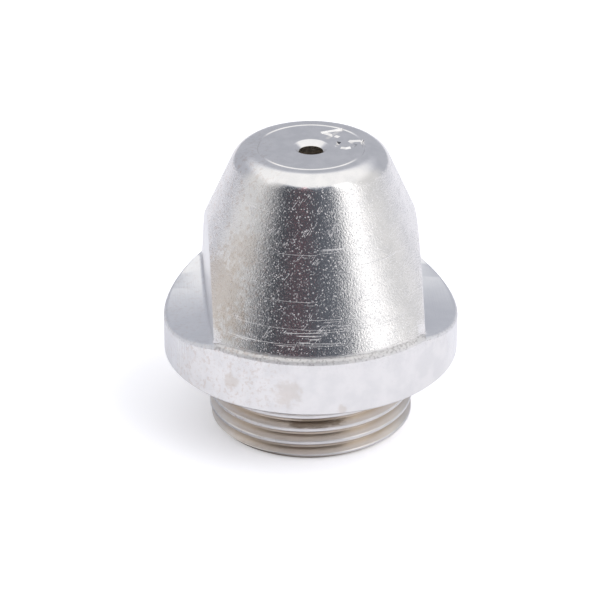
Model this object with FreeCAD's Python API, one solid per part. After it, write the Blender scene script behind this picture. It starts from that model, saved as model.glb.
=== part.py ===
"""Plasma torch nozzle, turned from one bar, with two milled flats and a threaded end.

It stands on its threaded end. The origin is the centre of that end face and +Z runs along
the axis, towards the tip where the arc comes out. X is square to the wrench flats.
All sizes are in millimetres.
"""
import FreeCAD, Part
import math
import os

V = FreeCAD.Vector
AXIS = V(0, 0, 1)

# Threaded end: M14 x 1 outside thread, drawn at its major diameter
THREAD_DIAMETER = 13.9
THREAD_LENGTH = 5.2
THREAD_END_CHAMFER = 0.4

# Flange: a plain wall, from the seat up to the foot of the cone
FLANGE_DIAMETER = 20.0
FLANGE_WALL = 3.35
FLANGE_EDGE_BREAK = 0.15
SHOULDER_ROUND = 0.6

# Cone and tip
OVERALL_HEIGHT = 20.0
CONE_HALF_ANGLE = 24.0
TIP_ROUND = 1.5

# Wrench flats: each is cut by a disc cutter that leaves a hollow floor in the flange
ACROSS_FLATS = 14.0
CUTTER_RADIUS = 22.0
CUTTER_CORNER = 0.3
FLAT_FLOOR_DROP = 0.5
RIM_ROUND = 0.35

# Chamber, open at the threaded end, and the orifice that it narrows to
CHAMBER_DIAMETER = 10.0
CHAMBER_DEPTH = 12.0
CHAMBER_MOUTH_CHAMFER = 0.4
THROAT_HALF_ANGLE = 35.0
ORIFICE_DIAMETER = 1.6
ORIFICE_COUNTERSINK = 0.2

# Free room that a cutting tool has past the surface that it leaves
OVERCUT = 1.0

# Sizes closer than this are the same size
SAME = 1e-6


def radial(radius, height):
    """A point of the turned profile, in the XZ plane."""
    return V(radius, 0, height)


def turned(edges):
    """A solid of revolution about the axis, from the edges of one closed profile."""
    return Part.Face(Part.Wire(edges)).revolve(V(0, 0, 0), AXIS, 360)


def polygon(points):
    """The edges of the closed outline through these points."""
    return Part.makePolygon(points + points[:1]).Edges


def arc_about(centre, radius, start, end):
    """An arc in the XZ plane, between two angles in degrees from +X towards +Z."""
    middle = (start + end) / 2
    points = []
    for angle in (start, middle, end):
        turn = math.radians(angle)
        points.append(centre + V(math.cos(turn), 0, math.sin(turn)) * radius)
    return Part.Arc(*points).toShape(), points[0], points[2]


def blank():
    """The outside as it leaves the lathe: threaded end, flange, cone and rounded tip."""
    thread = THREAD_DIAMETER / 2
    flange = FLANGE_DIAMETER / 2
    slope = math.radians(CONE_HALF_ANGLE)
    cone_foot = THREAD_LENGTH + FLANGE_WALL

    # The shoulder's arc touches the wall and the cone
    shoulder_reach = SHOULDER_ROUND * math.tan(slope / 2)
    shoulder_centre = radial(flange - SHOULDER_ROUND, cone_foot - shoulder_reach)
    shoulder, wall_top, cone_start = arc_about(
        shoulder_centre, SHOULDER_ROUND, 0, CONE_HALF_ANGLE)

    # The tip's arc touches the cone and the tip face
    tip_centre_height = OVERALL_HEIGHT - TIP_ROUND
    cone_at_tip = flange - (tip_centre_height - cone_foot) * math.tan(slope)
    tip_centre = radial(cone_at_tip - TIP_ROUND / math.cos(slope), tip_centre_height)
    tip, cone_end, face_edge = arc_about(tip_centre, TIP_ROUND, CONE_HALF_ANGLE, 90)

    below = [
        radial(0, 0),
        radial(thread - THREAD_END_CHAMFER, 0),
        radial(thread, THREAD_END_CHAMFER),
        radial(thread, THREAD_LENGTH),
        radial(flange - FLANGE_EDGE_BREAK, THREAD_LENGTH),
        radial(flange, THREAD_LENGTH + FLANGE_EDGE_BREAK),
        wall_top,
    ]
    edges = Part.makePolygon(below).Edges
    edges.append(shoulder)
    edges.append(Part.makeLine(cone_start, cone_end))
    edges.append(tip)
    edges.append(Part.makeLine(face_edge, radial(0, OVERALL_HEIGHT)))
    edges.append(Part.makeLine(radial(0, OVERALL_HEIGHT), radial(0, 0)))
    return turned(edges)


def chamber():
    """The hollow inside: chamfered mouth, straight chamber, throat, orifice, countersink."""
    wide = CHAMBER_DIAMETER / 2
    narrow = ORIFICE_DIAMETER / 2
    mouth = wide + CHAMBER_MOUTH_CHAMFER
    rim = narrow + ORIFICE_COUNTERSINK
    throat_end = CHAMBER_DEPTH + (wide - narrow) / math.tan(math.radians(THROAT_HALF_ANGLE))
    return turned(polygon([
        radial(0, -OVERCUT),
        radial(mouth, -OVERCUT),
        radial(mouth, 0),
        radial(wide, CHAMBER_MOUTH_CHAMFER),
        radial(wide, CHAMBER_DEPTH),
        radial(narrow, throat_end),
        radial(narrow, OVERALL_HEIGHT - ORIFICE_COUNTERSINK),
        radial(rim, OVERALL_HEIGHT),
        radial(rim, OVERALL_HEIGHT + OVERCUT),
        radial(0, OVERALL_HEIGHT + OVERCUT),
    ]))


def flat_floor_height():
    """The lowest line of the floor that the cutter leaves beside a flat."""
    return THREAD_LENGTH + FLANGE_WALL - FLAT_FLOOR_DROP


def flat_cutter(side):
    """The disc cutter at the end of its plunge, on the +X side (1) or the -X side (-1)."""
    inner = ACROSS_FLATS / 2
    outer = FLANGE_DIAMETER / 2 + OVERCUT
    axle_height = flat_floor_height() + CUTTER_RADIUS
    disc = Part.makeCylinder(CUTTER_RADIUS, outer - inner, V(inner, 0, axle_height), V(1, 0, 0))
    corner = [edge for edge in disc.Edges
              if isinstance(edge.Curve, Part.Circle)
              and abs(edge.Curve.Center.x - inner) < SAME]
    disc = disc.makeFillet(CUTTER_CORNER, corner)
    if side < 0:
        disc = disc.mirror(V(0, 0, 0), V(1, 0, 0))
    return disc


def round_rims(nozzle):
    """Rounds the edge where each hollow floor runs out through the wall, shoulder and cone."""
    floors = [face for face in nozzle.Faces
              if isinstance(face.Surface, Part.Cylinder)
              and abs(face.Surface.Radius - CUTTER_RADIUS) < SAME]
    rims = [edge for floor in floors for edge in floor.Edges
            if not isinstance(edge.Curve, Part.Circle)]
    return nozzle.makeFillet(RIM_ROUND, rims)


nozzle = blank()
for side in (1, -1):
    nozzle = nozzle.cut(flat_cutter(side))
nozzle = round_rims(nozzle)
nozzle = nozzle.cut(chamber())

os.makedirs("parts", exist_ok=True)
nozzle.exportStep("parts/nozzle.step")
print("nozzle", "solids", len(nozzle.Solids), "valid", nozzle.isValid(),
      "volume mm3", round(nozzle.Volume, 2))
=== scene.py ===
"""A plasma torch nozzle, standing on its threaded end on a pale studio floor."""
import math

import bmesh
import bpy
from mathutils import Matrix, Vector


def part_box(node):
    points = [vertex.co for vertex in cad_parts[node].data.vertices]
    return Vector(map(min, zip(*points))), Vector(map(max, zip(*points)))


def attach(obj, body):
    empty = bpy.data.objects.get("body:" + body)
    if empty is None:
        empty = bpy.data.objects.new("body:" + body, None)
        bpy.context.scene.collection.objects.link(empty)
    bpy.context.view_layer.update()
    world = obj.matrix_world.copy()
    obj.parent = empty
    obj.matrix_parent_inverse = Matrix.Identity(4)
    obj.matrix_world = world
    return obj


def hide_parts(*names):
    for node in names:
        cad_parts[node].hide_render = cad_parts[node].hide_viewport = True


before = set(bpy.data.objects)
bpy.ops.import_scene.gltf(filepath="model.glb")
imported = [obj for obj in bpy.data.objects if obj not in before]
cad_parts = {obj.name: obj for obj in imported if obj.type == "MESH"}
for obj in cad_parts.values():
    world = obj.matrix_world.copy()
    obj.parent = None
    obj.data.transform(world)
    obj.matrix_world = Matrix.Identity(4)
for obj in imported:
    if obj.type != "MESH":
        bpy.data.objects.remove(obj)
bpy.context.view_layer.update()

# ---------------------------------------------------------------------------------------
# The camera. It stands in front of the nozzle, a little to its left, and looks down on
# it, so that the left wrench flat is just seen edge-on.

LOOKS_DOWN = math.radians(27.67)
LOOKS_RIGHT = math.radians(4.98)

camera_data = bpy.data.cameras.new("camera")
camera_data.lens = 176.1
camera_data.clip_start = 0.01
camera = bpy.data.objects.new("camera", camera_data)
camera.location = (-0.01606, -0.17592, 0.10119)
camera.rotation_euler = (math.pi / 2 - LOOKS_DOWN, 0, -LOOKS_RIGHT)
bpy.context.scene.collection.objects.link(camera)
bpy.context.scene.camera = camera

# ---------------------------------------------------------------------------------------
# The studio. A white table stands in a white room. In front is the dark opening that the
# camera looks through, which the bright cone shows as a dark band, with a softbox to its
# right. A lamp at the right gives the nozzle its soft shadow.

ROOM = 0.80
CEILING = 1.12
BACK_WALL_SHADE = 0.24
SOFTBOX_GAIN = 0.75
OPENING_SHADE = 0.90
OPENING_LIFT_AT_RIGHT = 0.10
GREY_SIDE_SHADE = 0.35
PLAIN = (1.0, 1.0, 1.0, 1.0)
BACK_WALL_TINT = (0.93, 0.96, 1.06, 1.0)
OPENING_TINT = (0.90, 0.98, 1.15, 1.0)
RED_EDGE_TINT = (8.0, 3.0, 3.3, 1.0)

LAMP_PLACE = (0.42, -0.20, 0.42)
LAMP_SIZE = 0.60
LAMP_POWER = 2.3
LAMP_AIM = (0, 0, 0.01)

TABLE_SIZE = 1.6
TABLE_COLOUR = (0.86, 0.86, 0.90, 1.0)
TABLE_GLOW = 0.35

bpy.context.scene.view_settings.view_transform = "Standard"


def node(tree, kind, inputs=None, **settings):
    """Adds one node. inputs holds a link or a constant for each socket, by name or number."""
    made = tree.nodes.new(kind)
    for key, value in settings.items():
        setattr(made, key, value)
    for key, value in (inputs or {}).items():
        if isinstance(value, bpy.types.NodeSocket):
            tree.links.new(value, made.inputs[key])
        else:
            made.inputs[key].default_value = value
    return made


def maths(tree, operation, first, second=0.5, third=0.5, clamp=False):
    """The result of one Math node."""
    return node(tree, "ShaderNodeMath", {0: first, 1: second, 2: third},
                operation=operation, use_clamp=clamp).outputs[0]


def times(tree, first, *others):
    """The product of several numbers."""
    for other in others:
        first = maths(tree, "MULTIPLY", first, other)
    return first


def opposite(tree, value):
    """What a value lacks of 1."""
    return maths(tree, "SUBTRACT", 1.0, value)


def mixed(tree, factor, first, second):
    """The colour that lies between two colours."""
    return node(tree, "ShaderNodeMix", {0: factor, 6: first, 7: second},
                data_type="RGBA").outputs[2]


def between(tree, factor, first, second):
    """The number that lies between two numbers."""
    return node(tree, "ShaderNodeMix", {0: factor, 2: first, 3: second},
                data_type="FLOAT").outputs[0]


def step_between(tree, value, low, high, to_low=0.0, to_high=1.0):
    """Turns smoothly from to_low to to_high while value goes from low to high."""
    return node(tree, "ShaderNodeMapRange",
                {"Value": value, "From Min": low, "From Max": high,
                 "To Min": to_low, "To Max": to_high},
                interpolation_type="SMOOTHSTEP").outputs["Result"]


world = bpy.data.worlds.new("studio")
bpy.context.scene.world = world
world.use_nodes = True
sky = world.node_tree
sky.nodes.clear()
x, y, z = node(sky, "ShaderNodeSeparateXYZ",
               {0: node(sky, "ShaderNodeTexCoord").outputs["Generated"]}).outputs
azimuth = maths(sky, "ARCTAN2", x, times(sky, y, -1.0))


def patch(left, right, top):
    """1 on a patch of the room, 0 off it. The edges are soft, and each is given by where it
    starts and ends: the sides in degrees right of the front, the top in the height."""
    return times(sky,
                 step_between(sky, azimuth, math.radians(left[0]), math.radians(left[1])),
                 step_between(sky, azimuth, math.radians(right[0]), math.radians(right[1]),
                              1.0, 0.0),
                 step_between(sky, z, top[0], top[1], 1.0, 0.0))


LENS_TOP = (0.74, 0.84)
softbox = patch((35, 40), (56, 70), (0.70, 0.85))
opening = patch((-60, -49), (31, 36), LENS_TOP)
grey_side = patch((-76, -66), (-58, -50), LENS_TOP)
red_edge = patch((-19.0, -18.4), (-17.2, -16.6), LENS_TOP)
back_wall = times(sky, step_between(sky, y, 0.15, 0.55), step_between(sky, z, 0.50, 0.80, 1.0, 0.0))

seen = node(sky, "ShaderNodeLightPath").outputs["Is Camera Ray"]
reflected = opposite(sky, seen)
room = maths(sky, "SUBTRACT", step_between(sky, z, 0.45, 0.80, ROOM, CEILING),
             times(sky, back_wall, BACK_WALL_SHADE))
room = maths(sky, "MULTIPLY_ADD", softbox, SOFTBOX_GAIN, room)
lift = step_between(sky, azimuth, math.radians(-6), math.radians(10), 0.0,
                    OPENING_LIFT_AT_RIGHT)
lit = times(sky, room,
            opposite(sky, times(sky, opening, maths(sky, "SUBTRACT", OPENING_SHADE, lift))),
            opposite(sky, times(sky, grey_side, GREY_SIDE_SHADE)))
tint = mixed(sky, times(sky, back_wall, reflected), PLAIN, BACK_WALL_TINT)
tint = mixed(sky, times(sky, opening, reflected), tint, OPENING_TINT)
tint = mixed(sky, times(sky, red_edge, reflected), tint, RED_EDGE_TINT)
background = node(sky, "ShaderNodeBackground", {
    "Color": tint, "Strength": between(sky, seen, lit, 1.0)})
node(sky, "ShaderNodeOutputWorld", {"Surface": background.outputs[0]})

lamp_data = bpy.data.lights.new("right_softbox", "AREA")
lamp_data.size = LAMP_SIZE
lamp_data.energy = LAMP_POWER
lamp = bpy.data.objects.new("right_softbox", lamp_data)
lamp.location = LAMP_PLACE
lamp.rotation_euler = (Vector(LAMP_AIM) - Vector(LAMP_PLACE)).to_track_quat("-Z", "Y").to_euler()
lamp.visible_glossy = False
bpy.context.scene.collection.objects.link(lamp)


def placed(shell, name):
    """Turns a bmesh into an object."""
    data = bpy.data.meshes.new(name)
    shell.to_mesh(data)
    shell.free()
    made = bpy.data.objects.new(name, data)
    bpy.context.scene.collection.objects.link(made)
    return made


def new_material(name):
    """A material with an empty node tree, and the tree."""
    material = bpy.data.materials.new(name)
    material.use_nodes = True
    material.node_tree.nodes.clear()
    return material, material.node_tree


top = bmesh.new()
bmesh.ops.create_grid(top, x_segments=1, y_segments=1, size=TABLE_SIZE / 2)
table = placed(top, "floor")
paper, tree = new_material("white_table")
diffuse = node(tree, "ShaderNodeBsdfDiffuse", {"Color": TABLE_COLOUR})
glow = node(tree, "ShaderNodeEmission", {"Color": PLAIN, "Strength": times(
    tree, node(tree, "ShaderNodeLightPath").outputs["Is Camera Ray"], TABLE_GLOW)})
both = node(tree, "ShaderNodeAddShader", {0: diffuse.outputs[0], 1: glow.outputs[0]})
node(tree, "ShaderNodeOutputMaterial", {"Surface": both.outputs[0]})
table.data.materials.append(paper)

# ---------------------------------------------------------------------------------------
# The nozzle. It is one piece of copper, turned from bar, with two wrench flats milled in
# the cone, a fine thread cut on the hollow end, a drilled orifice and two stamped digits
# on the tip face, all plated bright. Sizes are in millimetres.

MM = 0.001
low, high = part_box("nozzle")
FLANGE_RADIUS = (high[0] - low[0]) / 2 / MM
HEIGHT = (high[2] - low[2]) / MM

THREAD_RADIUS = 6.95
THREAD_LENGTH = 5.2
THREAD_END_CHAMFER = 0.4

FLANGE_EDGE_BREAK = 0.15
WALL_TOP = 9.3
RIM_ROUND = 0.35

CONE_FOOT = 8.55
CONE_SLOPE = math.radians(24.0)
TIP_ROUND = 1.5
TIP_RING_RADIUS = 3.53
TIP_RING_HALF_WIDTH = 0.08
TIP_RING_DEPTH = 0.06

CHAMBER_RADIUS = 5.0
CHAMBER_DEPTH = 12.0
MOUTH_CHAMFER = 0.4
THROAT_SLOPE = math.radians(35.0)
ORIFICE_RADIUS = 0.8
COUNTERSINK = 0.3
CUP_RADIUS = ORIFICE_RADIUS + COUNTERSINK + 0.12
CUP_LIP = 0.04
CUP_LIP_WIDTH = 0.10

ROUND_STEPS = 256
AXIS = Vector((0, 0, 1))


def arc(centre, radius, start, end, steps):
    """Points (across, up) along an arc between two angles, both ends included."""
    turns = [start + (end - start) * i / steps for i in range(steps + 1)]
    return [(centre[0] + radius * math.cos(turn), centre[1] + radius * math.sin(turn))
            for turn in turns]


def cone_radius(level):
    """The cone's radius at a height. At CONE_FOOT it would be as wide as the flange."""
    return FLANGE_RADIUS - (level - CONE_FOOT) * math.tan(CONE_SLOPE)


tip_up = HEIGHT - TIP_ROUND
tip_across = cone_radius(tip_up) - TIP_ROUND / math.cos(CONE_SLOPE)
cone_end = tip_up + TIP_ROUND * math.sin(CONE_SLOPE)
cone_rings = [WALL_TOP + (cone_end - WALL_TOP) * i / 10 for i in range(10)]
throat_end = CHAMBER_DEPTH + (CHAMBER_RADIUS - ORIFICE_RADIUS) / math.tan(THROAT_SLOPE)

# The turned outline runs up the outside, over the tip and down the hollow
outline = [(CHAMBER_RADIUS + MOUTH_CHAMFER, 0),
           (THREAD_RADIUS - THREAD_END_CHAMFER, 0),
           (THREAD_RADIUS, THREAD_END_CHAMFER),
           (THREAD_RADIUS, THREAD_LENGTH),
           (FLANGE_RADIUS - FLANGE_EDGE_BREAK, THREAD_LENGTH),
           (FLANGE_RADIUS, THREAD_LENGTH + FLANGE_EDGE_BREAK)]
outline += arc((FLANGE_RADIUS - RIM_ROUND, WALL_TOP - RIM_ROUND), RIM_ROUND,
               0, math.pi / 2, 6)
outline += [(cone_radius(level), level) for level in cone_rings]
outline += arc((tip_across, tip_up), TIP_ROUND, CONE_SLOPE, math.pi / 2, 16)
outline += [(TIP_RING_RADIUS + TIP_RING_HALF_WIDTH, HEIGHT),
            (TIP_RING_RADIUS, HEIGHT - TIP_RING_DEPTH),
            (TIP_RING_RADIUS - TIP_RING_HALF_WIDTH, HEIGHT),
            (CUP_RADIUS + 0.06, HEIGHT),
            (CUP_RADIUS, HEIGHT),
            (CUP_RADIUS - CUP_LIP_WIDTH, HEIGHT - CUP_LIP),
            (ORIFICE_RADIUS, HEIGHT - COUNTERSINK),
            (ORIFICE_RADIUS, throat_end),
            (CHAMBER_RADIUS, CHAMBER_DEPTH),
            (CHAMBER_RADIUS, MOUTH_CHAMFER)]
turned = bmesh.new()
points = [turned.verts.new((across, 0, up)) for across, up in outline]
edges = [turned.edges.new((points[i - 1], points[i])) for i in range(len(points))]
bmesh.ops.spin(turned, geom=points + edges, axis=AXIS, cent=(0, 0, 0), dvec=(0, 0, 0),
               angle=math.tau, steps=ROUND_STEPS, use_merge=True, use_duplicate=False)
bmesh.ops.recalc_face_normals(turned, faces=turned.faces)
nozzle = placed(turned, "nozzle_body")


def cut(body, tool):
    """Cuts a tool out of the body, for good, and throws the tool away."""
    step = body.modifiers.new("cut", "BOOLEAN")
    step.operation = "DIFFERENCE"
    step.solver = "EXACT"
    step.object = tool
    bpy.context.view_layer.update()
    solved = body.evaluated_get(bpy.context.evaluated_depsgraph_get())
    data = bpy.data.meshes.new_from_object(solved)
    body.modifiers.clear()
    body.data = data
    bpy.data.objects.remove(tool)


# The wrench flats. A disc cutter is plunged beside the cone: it leaves a flat, and a hollow
# floor that runs out through the flange's wall.

HALF_FLATS = 7.0
CUTTER_RADIUS = 22.0
CUTTER_CORNER = 0.3
FLOOR_LEVEL = 8.05
CUTTER_AXLE = FLOOR_LEVEL + CUTTER_RADIUS
OVERCUT = 1.0
RIM_SPARE = 0.4
EDGE_ROUND = 0.10


def flat_cutter(side):
    """The disc cutter at the bottom of its plunge beside one flat."""
    depth = FLANGE_RADIUS + OVERCUT - HALF_FLATS
    outline = [(0, 0), (0, CUTTER_RADIUS - CUTTER_CORNER)]
    outline += arc((CUTTER_CORNER, CUTTER_RADIUS - CUTTER_CORNER), CUTTER_CORNER,
                   math.pi, math.pi / 2, 4)[1:]
    outline += [(depth, CUTTER_RADIUS), (depth, 0)]
    disc = bmesh.new()
    points = [disc.verts.new((across, 0, up)) for across, up in outline]
    edges = [disc.edges.new(pair) for pair in zip(points, points[1:])]
    bmesh.ops.spin(disc, geom=points + edges, axis=(1, 0, 0), cent=(0, 0, 0),
                   dvec=(0, 0, 0), angle=math.tau, steps=360, use_merge=True,
                   use_duplicate=False)
    bmesh.ops.remove_doubles(disc, verts=disc.verts, dist=1e-5)
    bmesh.ops.translate(disc, verts=disc.verts, vec=(HALF_FLATS, 0, CUTTER_AXLE))
    if side < 0:
        bmesh.ops.scale(disc, verts=disc.verts, vec=(-1, 1, 1))
    bmesh.ops.recalc_face_normals(disc, faces=disc.faces)
    return placed(disc, "flat_cutter")


def rim_cutter(side):
    """The strip that is filed off the sharp rim of a hollow floor, leaving it rounded."""
    strip = bmesh.new()
    rings = []
    steps = 72
    half_chord = math.sqrt(CUTTER_RADIUS ** 2 - (CUTTER_AXLE - WALL_TOP) ** 2)
    reach = math.asin(half_chord / FLANGE_RADIUS)
    for i in range(steps + 1):
        turn = -reach + 2 * reach * i / steps
        off_centre = FLANGE_RADIUS * math.sin(turn)
        level = CUTTER_AXLE - math.sqrt(CUTTER_RADIUS ** 2 - off_centre ** 2)
        section = arc((FLANGE_RADIUS - RIM_ROUND, level - RIM_ROUND), RIM_ROUND,
                      0, math.pi / 2, 6)
        section += [(FLANGE_RADIUS - RIM_ROUND, level + RIM_SPARE),
                    (FLANGE_RADIUS + RIM_SPARE, level + RIM_SPARE),
                    (FLANGE_RADIUS + RIM_SPARE, level - RIM_ROUND)]
        rings.append([strip.verts.new((side * across * math.cos(turn),
                                       across * math.sin(turn), up))
                      for across, up in section])
    for before, after in zip(rings, rings[1:]):
        for k in range(len(before)):
            strip.faces.new((before[k - 1], before[k], after[k], after[k - 1]))
    strip.faces.new(rings[0])
    strip.faces.new(rings[-1])
    bmesh.ops.recalc_face_normals(strip, faces=strip.faces)
    return placed(strip, "rim_cutter")


def soften_flat_edges(body):
    """Takes the sharpness off the edges where the flats meet the cone."""
    shell = bmesh.new()
    shell.from_mesh(body.data)
    edges = []
    for edge in shell.edges:
        if len(edge.link_faces) != 2 or min(v.co.z for v in edge.verts) < WALL_TOP:
            continue
        on_flat = [abs(face.normal.x) > 0.999 for face in edge.link_faces]
        if on_flat[0] != on_flat[1]:
            edges.append(edge)
    bmesh.ops.bevel(shell, geom=edges, offset=EDGE_ROUND, segments=3, profile=0.5,
                    affect="EDGES", material=-1, clamp_overlap=True)
    shell.to_mesh(body.data)
    shell.free()


for side in (1, -1):
    cut(nozzle, flat_cutter(side))
    cut(nozzle, rim_cutter(side))
soften_flat_edges(nozzle)

# The digits. They stand side by side on the tip face, each struck stroke by stroke as a
# groove whose walls slope down to a narrow bottom. An outline is given in digit heights.

DIGIT_HEIGHT = 1.8
DIGIT_RADIUS = 2.62
# A stroke's levels: the height over the tip face, the half-width and the spare length
STROKE_LEVELS = ((0.08, 0.24, 0.12), (-0.12, 0.05, 0.0))
FOUR = [(0.12, -0.5), (0.12, 0.5), (-0.34, -0.16), (0.36, -0.16)]
FIVE = [(0.30, 0.5), (-0.24, 0.5), (-0.28, 0.06)] + arc(
    (0.0, -0.17), 0.33, math.radians(125), math.radians(-140), 6)


def stroke(start, end):
    """The tool that cuts one straight stroke of a digit."""
    along = (end - start).normalized()
    aside = Vector((-along.y, along.x))
    shape = bmesh.new()
    for level, half_width, spare in STROKE_LEVELS:
        for tip, outward in ((start, -spare), (end, spare)):
            for side in (-half_width, half_width):
                place = tip + along * outward + aside * side
                shape.verts.new((place.x, place.y, HEIGHT + level))
    bmesh.ops.convex_hull(shape, input=shape.verts)
    bmesh.ops.recalc_face_normals(shape, faces=shape.faces)
    return placed(shape, "stroke")


def stamp(body, shape, azimuth_degrees):
    """Stamps one digit into the tip face, with its top outwards."""
    turn = math.radians(azimuth_degrees)
    outwards = Vector((math.cos(turn), math.sin(turn)))
    along = Vector((math.sin(turn), -math.cos(turn)))
    places = [outwards * (DIGIT_RADIUS + DIGIT_HEIGHT * up) + along * DIGIT_HEIGHT * across
              for across, up in shape]
    for start, end in zip(places, places[1:]):
        cut(body, stroke(start, end))


stamp(nozzle, FOUR, 52)
stamp(nozzle, FIVE, 4)

# The thread. The tool's point is run up a helix from below the end face. The crests are
# left a little wide and the grooves a little shallow, as on a worn and plated thread.

THREAD_PITCH = 1.0
THREAD_DEPTH = 0.50
THREAD_CREST = 0.22
THREAD_FLANK = math.radians(30)
THREAD_TURNS = 5.0
THREAD_STEPS_PER_TURN = 180
ROOT_SAG = 0.02
CREST_BREAK = 0.05
# How high the grooves lie at the azimuth of the camera
GROOVE_AT_FRONT = 1.85
FRONT = math.radians(-95)
# Keeps the tool's facets off the body's own
FACET_SHIFT = math.radians(0.3)


def thread_tool():
    """The body that the tool's point sweeps: a rounded groove section along a helix."""
    half_gap = (THREAD_PITCH - THREAD_CREST) / 2
    root = THREAD_RADIUS - THREAD_DEPTH
    half_root = half_gap - THREAD_DEPTH * math.tan(THREAD_FLANK)
    one_side = [(0.0, root - ROOT_SAG),
                (half_root * 0.7, root - ROOT_SAG * 0.6),
                (half_root, root + ROOT_SAG * 0.5),
                (half_gap - CREST_BREAK, THREAD_RADIUS - CREST_BREAK * 1.5),
                (half_gap - CREST_BREAK * 0.4, THREAD_RADIUS - CREST_BREAK * 0.74),
                (half_gap + CREST_BREAK * 0.4, THREAD_RADIUS - CREST_BREAK * 0.24),
                (half_gap + CREST_BREAK * 0.9, THREAD_RADIUS + CREST_BREAK * 0.4),
                (half_gap + CREST_BREAK * 0.9, THREAD_RADIUS + 0.5)]
    section = one_side + [(-across, up) for across, up in reversed(one_side[1:])]
    tool = bmesh.new()
    face = tool.faces.new([tool.verts.new((out, 0, along)) for along, out in section])
    bmesh.ops.spin(tool, geom=[face], axis=AXIS, cent=(0, 0, 0),
                   dvec=(0, 0, THREAD_PITCH / THREAD_STEPS_PER_TURN),
                   angle=math.tau * THREAD_TURNS,
                   steps=int(THREAD_TURNS * THREAD_STEPS_PER_TURN),
                   use_merge=False, use_duplicate=False)
    bmesh.ops.rotate(tool, verts=tool.verts, cent=(0, 0, 0),
                     matrix=Matrix.Rotation(FRONT + math.pi + FACET_SHIFT, 3, "Z"))
    bmesh.ops.translate(tool, verts=tool.verts,
                        vec=(0, 0, GROOVE_AT_FRONT - THREAD_PITCH * THREAD_TURNS / 2))
    bmesh.ops.recalc_face_normals(tool, faces=tool.faces)
    return placed(tool, "thread_tool")


cut(nozzle, thread_tool())

nozzle.data.transform(Matrix.Scale(MM, 4))
for face in nozzle.data.polygons:
    face.use_smooth = True
nozzle.data.set_sharp_from_angle(angle=math.radians(28))

# The plating. It is bright, with a fine grain, pits, scratches along the turning, brown stains, and
# a tan tone on the thread, where it is thin over the copper.
# Painted shade darkens the front of the thread below the flange, and the bore's brown deepens
# towards its bottom as painted shade.

PLATING = (0.82, 0.805, 0.80, 1.0)
PLATING_DULL = (0.76, 0.75, 0.75, 1.0)
PLATING_MILLED = (0.80, 0.81, 0.84, 1.0)
PLATING_WORN = (0.38, 0.36, 0.36, 1.0)
MOTTLING = (0.62, 0.53, 0.48, 1.0)
STAIN = (0.58, 0.50, 0.43, 1.0)
THREAD_TAN = (0.70, 0.60, 0.48, 1.0)
GROOVE_BROWN = (0.46, 0.37, 0.29, 1.0)
# Painted shade: the dark brown laid on the front of the thread below the flange
PAINTED_THREAD_SHADE = (0.22, 0.17, 0.12, 1.0)
# The bore's brown tone. Laid on more strongly towards the bore's bottom, it is also painted shade
BORE_BROWN_AND_SHADE = (0.50, 0.42, 0.30, 1.0)

# Each stain's place, radius and strength
STAINS = [((-6.2, -4.6, 12.0), 3.0, 0.55), ((-5.3, -6.4, 10.4), 1.6, 0.5),
          ((-4.6, -4.8, 15.0), 1.7, 0.35), ((-2.4, -9.7, 6.8), 1.1, 0.35),
          ((-6.0, -8.0, 7.0), 0.7, 0.4), ((1.2, -9.9, 5.6), 0.4, 0.4)]

# How high or deep the marks are
GRAIN_HEIGHT = 0.022
PIT_DEPTH = 0.016
TURNED_LINE_DEPTH = 0.010
STRAY_LINE_DEPTH = 0.008
TIP_LINE_HEIGHT = 0.0016
MILL_LINE_HEIGHT = 0.010
RIM_GRAIN_HEIGHT = 0.030
# The share of the cone's grain that the other surfaces have
CALM = 0.15

MILLED_ROUGHNESS = 0.30
THREAD_ROUGHNESS = 0.30
RIM_ROUGHNESS = 0.60
BORE_ROUGHNESS = 0.60


def node_group(name, inputs):
    """An empty node group that puts out one mask: its tree, its inputs and the mask."""
    made = bpy.data.node_groups.new(name, "ShaderNodeTree")
    for socket, kind, value in inputs:
        opened = made.interface.new_socket(name=socket, in_out="INPUT", socket_type=kind)
        if value is not None:
            opened.default_value = value
    made.interface.new_socket(name="Mask", in_out="OUTPUT", socket_type="NodeSocketFloat")
    given = made.nodes.new("NodeGroupInput").outputs
    return made, given, made.nodes.new("NodeGroupOutput").inputs["Mask"]


def mask_of(tree, group, inputs):
    """Puts a node group into a tree with its own values, and gives its mask."""
    made = tree.nodes.new("ShaderNodeGroup")
    made.node_tree = group
    for key, value in inputs.items():
        if isinstance(value, bpy.types.NodeSocket):
            tree.links.new(value, made.inputs[key])
        else:
            made.inputs[key].default_value = value
    return made.outputs["Mask"]


def stretched(tree, vector, scale):
    """Coordinates multiplied by a scale of their own in each direction."""
    return node(tree, "ShaderNodeVectorMath", {0: vector, 1: scale},
                operation="MULTIPLY").outputs[0]


def noise(tree, vector, scale, detail=2.0, roughness=0.5):
    """One noise texture's value."""
    return node(tree, "ShaderNodeTexNoise", {"Vector": vector, "Scale": scale,
                                             "Detail": detail, "Roughness": roughness}
                ).outputs["Fac"]


# Fine scratches: thin broken lines, long in one direction
scratches, given, mask = node_group("fine scratches", [
    ("Position", "NodeSocketVector", None), ("Width", "NodeSocketFloat", 0.02),
    ("Share", "NodeSocketFloat", 0.5)])
off_middle = maths(scratches, "ABSOLUTE", maths(
    scratches, "SUBTRACT", noise(scratches, given["Position"], 1.0, 1.0), 0.5))
line = opposite(scratches, maths(scratches, "DIVIDE", off_middle, given["Width"], clamp=True))
patches = noise(scratches, stretched(scratches, given["Position"], (1.7, 1.7, 0.35)), 1.0, 2.0)
broken = step_between(scratches, maths(scratches, "ADD", patches, given["Share"]), 1.0, 1.06)
scratches.links.new(times(scratches, line, broken), mask)

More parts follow.
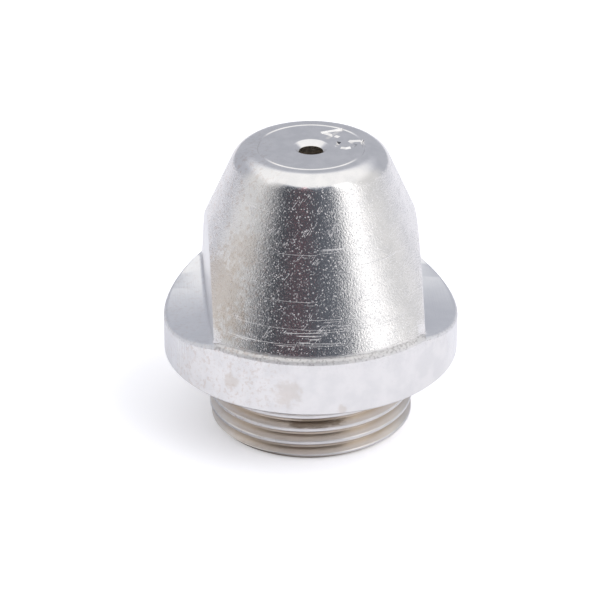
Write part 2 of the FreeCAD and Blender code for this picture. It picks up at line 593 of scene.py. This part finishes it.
# Pits: small uneven hollows of random depth
pits, given, mask = node_group("pits", [
    ("Position", "NodeSocketVector", None), ("Per mm", "NodeSocketFloat", 5.0),
    ("Share", "NodeSocketFloat", 0.3)])
wander = node(pits, "ShaderNodeTexNoise", {"Vector": given["Position"], "Scale": 11.0,
                                           "Detail": 1.0}).outputs["Color"]
uneven = node(pits, "ShaderNodeVectorMath", {0: wander, 1: (0.16, 0.16, 0.16),
                                             2: given["Position"]},
              operation="MULTIPLY_ADD").outputs[0]
cells = node(pits, "ShaderNodeTexVoronoi", {"Vector": uneven, "Scale": given["Per mm"]})
chance, depth = node(pits, "ShaderNodeSeparateColor", {0: cells.outputs["Color"]}).outputs[:2]
pits.links.new(times(pits, maths(pits, "LESS_THAN", chance, given["Share"]), depth,
                     step_between(pits, cells.outputs["Distance"], 0.05, 0.40, 1.0, 0.0)), mask)

# Spot: a ragged patch round one place, used for the stains and for the painted shade on the thread
spot, given, mask = node_group("spot", [
    ("Position", "NodeSocketVector", None), ("Centre", "NodeSocketVector", (0, 0, 0)),
    ("Radius", "NodeSocketFloat", 1.0)])
away = node(spot, "ShaderNodeVectorMath", {0: given["Position"], 1: given["Centre"]},
            operation="DISTANCE").outputs["Value"]
ragged = maths(spot, "MULTIPLY_ADD", noise(spot, given["Position"], 2.2, 4.0, 0.65), 1.8, -0.9)
reach = maths(spot, "ADD", maths(spot, "DIVIDE", away, given["Radius"]), ragged)
spot.links.new(step_between(spot, reach, 0.45, 1.05, 1.0, 0.0), mask)

plating, tree = new_material("bright_plating")
metres = node(tree, "ShaderNodeTexCoord").outputs["Object"]
here = node(tree, "ShaderNodeVectorMath", {0: metres, "Scale": 1 / MM},
            operation="SCALE").outputs[0]
across, _, up = node(tree, "ShaderNodeSeparateXYZ", {0: here}).outputs
radius = node(tree, "ShaderNodeVectorMath", {0: stretched(tree, here, (1, 1, 0))},
              operation="LENGTH").outputs["Value"]
faces_x, _, faces_up = node(tree, "ShaderNodeSeparateXYZ", {
    0: node(tree, "ShaderNodeNewGeometry").outputs["Normal"]}).outputs

# Where the surface is which. The flange's two sides count as milled too.
on_thread = maths(tree, "LESS_THAN", up, THREAD_LENGTH - 0.01)
on_flank = times(tree, on_thread, step_between(
    tree, radius, THREAD_RADIUS - 0.06, THREAD_RADIUS - 0.01, 1.0, 0.0))
in_groove = times(tree, on_thread, step_between(
    tree, radius, THREAD_RADIUS - 0.48, THREAD_RADIUS - 0.15, 1.0, 0.0))
# The bore's brown, stronger towards its bottom: the tone is the bore's own, the deepening is
# painted shade
bore_tone_and_painted_shade = times(tree, maths(tree, "LESS_THAN", radius, ORIFICE_RADIUS + 0.02),
                step_between(tree, up, HEIGHT - 2.2, HEIGHT - 0.3, 1.0, 0.35))
squarely = maths(tree, "ADD", maths(tree, "ABSOLUTE", faces_x), faces_up)
milled = times(tree, maths(tree, "GREATER_THAN", maths(tree, "ABSOLUTE", across),
                           HALF_FLATS - 0.02),
               maths(tree, "GREATER_THAN", squarely, 0.93))
on_floor = times(tree, milled, maths(tree, "GREATER_THAN", faces_up, 0.7))
on_tip = maths(tree, "GREATER_THAN", up, HEIGHT - 0.01)
on_cone = times(tree, opposite(tree, milled),
                step_between(tree, up, WALL_TOP - 0.05, WALL_TOP + 0.15),
                step_between(tree, up, HEIGHT - 0.9, HEIGHT - 0.5, 1.0, 0.0))
on_rim = times(tree, step_between(tree, radius, FLANGE_RADIUS - 0.45, FLANGE_RADIUS - 0.30),
               step_between(tree, faces_up, 0.03, 0.15), opposite(tree, on_floor))

# The marks that turning, milling and handling left, as height
grain = noise(tree, here, 8.0, 3.0, 0.65)
pitted = mask_of(tree, pits, {"Position": here, "Per mm": 8.5, "Share": 0.62})
turned_lines = mask_of(tree, scratches, {
    "Position": stretched(tree, here, (0.10, 0.10, 5.0)), "Width": 0.014,
    "Share": step_between(tree, up, WALL_TOP + 1.0, WALL_TOP + 4.0, 0.46, 0.40)})
slanted = node(tree, "ShaderNodeVectorRotate", {"Vector": here, "Axis": (0.0, 1.0, 0.0),
                                                "Angle": math.radians(52)},
               rotation_type="AXIS_ANGLE").outputs[0]
stray_lines = mask_of(tree, scratches, {
    "Position": stretched(tree, slanted, (0.7, 0.7, 5.0)), "Width": 0.02, "Share": 0.40})
tip_lines = maths(tree, "SINE", times(tree, radius, 26.0))
near_orifice = times(tree, on_tip, step_between(tree, radius, 1.0, 2.1, 1.0, 0.25))
mill_lines = noise(tree, stretched(tree, here, (9.0, 0.35, 0.35)), 1.0, 2.0)
rim_grain = noise(tree, here, 9.0, 2.0)

height = times(tree, grain, GRAIN_HEIGHT)
height = maths(tree, "MULTIPLY_ADD", pitted, -PIT_DEPTH, height)
height = times(tree, height, between(tree, on_cone, CALM, 1.0))
for marks, place, amount in ((turned_lines, on_cone, -TURNED_LINE_DEPTH),
                             (stray_lines, on_cone, -STRAY_LINE_DEPTH),
                             (tip_lines, near_orifice, TIP_LINE_HEIGHT),
                             (mill_lines, milled, MILL_LINE_HEIGHT),
                             (rim_grain, on_rim, RIM_GRAIN_HEIGHT)):
    height = maths(tree, "MULTIPLY_ADD", marks, times(tree, place, amount), height)
bumped = node(tree, "ShaderNodeBump", {"Strength": 1.0, "Distance": MM, "Height": height})

# Colour
mottled = times(tree, step_between(tree, noise(tree, here, 3.2, 4.0, 0.65), 0.50, 0.66),
                step_between(tree, across, -1.0, -5.0))
# Painted shade: a dark patch on the front of the thread, below the flange, where the flange darkens
# it
painted_thread_shade = mask_of(tree, spot, {"Position": stretched(tree, here, (0.4, 1.0, 2.0)),
                             "Centre": (-0.15, -6.6, 5.5), "Radius": 0.9})
worn = times(tree, on_rim, step_between(tree, noise(tree, here, 5.5, 3.0), 0.52, 0.62))
tones = [(mottled, 0.50, MOTTLING)]
tones += [(mask_of(tree, spot, {"Position": here, "Centre": place, "Radius": size}),
           amount, STAIN) for place, size, amount in STAINS]
# Of these, the dark patch on the front of the thread is painted shade from the flange
tones += [(on_flank, 0.50, THREAD_TAN), (in_groove, 0.60, GROOVE_BROWN),
          (times(tree, on_flank, painted_thread_shade), 0.75, PAINTED_THREAD_SHADE), (bore_tone_and_painted_shade, 1.0, BORE_BROWN_AND_SHADE),
          (worn, 0.45, PLATING_WORN), (milled, 0.50, PLATING_MILLED)]
colour = mixed(tree, step_between(tree, noise(tree, here, 0.9, 3.0), 0.35, 0.65),
               PLATING, PLATING_DULL)
for place, amount, tone in tones:
    colour = mixed(tree, times(tree, place, amount), colour, tone)

# Roughness
scored = times(tree, on_cone, maths(tree, "MAXIMUM", turned_lines, stray_lines))
shine = maths(tree, "MULTIPLY_ADD", noise(tree, here, 2.5, 3.0), 0.10, 0.05)
shine = maths(tree, "MULTIPLY_ADD", scored, 0.25, shine)
for place, amount in ((milled, MILLED_ROUGHNESS), (on_thread, THREAD_ROUGHNESS),
                      (on_rim, RIM_ROUGHNESS), (bore_tone_and_painted_shade, BORE_ROUGHNESS)):
    shine = between(tree, place, shine, amount)

metal = node(tree, "ShaderNodeBsdfPrincipled", {
    "Base Color": colour, "Metallic": 1.0, "Roughness": shine,
    "Normal": bumped.outputs["Normal"]})
node(tree, "ShaderNodeOutputMaterial", {"Surface": metal.outputs[0]})
nozzle.data.materials.clear()
nozzle.data.materials.append(plating)

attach(nozzle, "root")
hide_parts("nozzle")
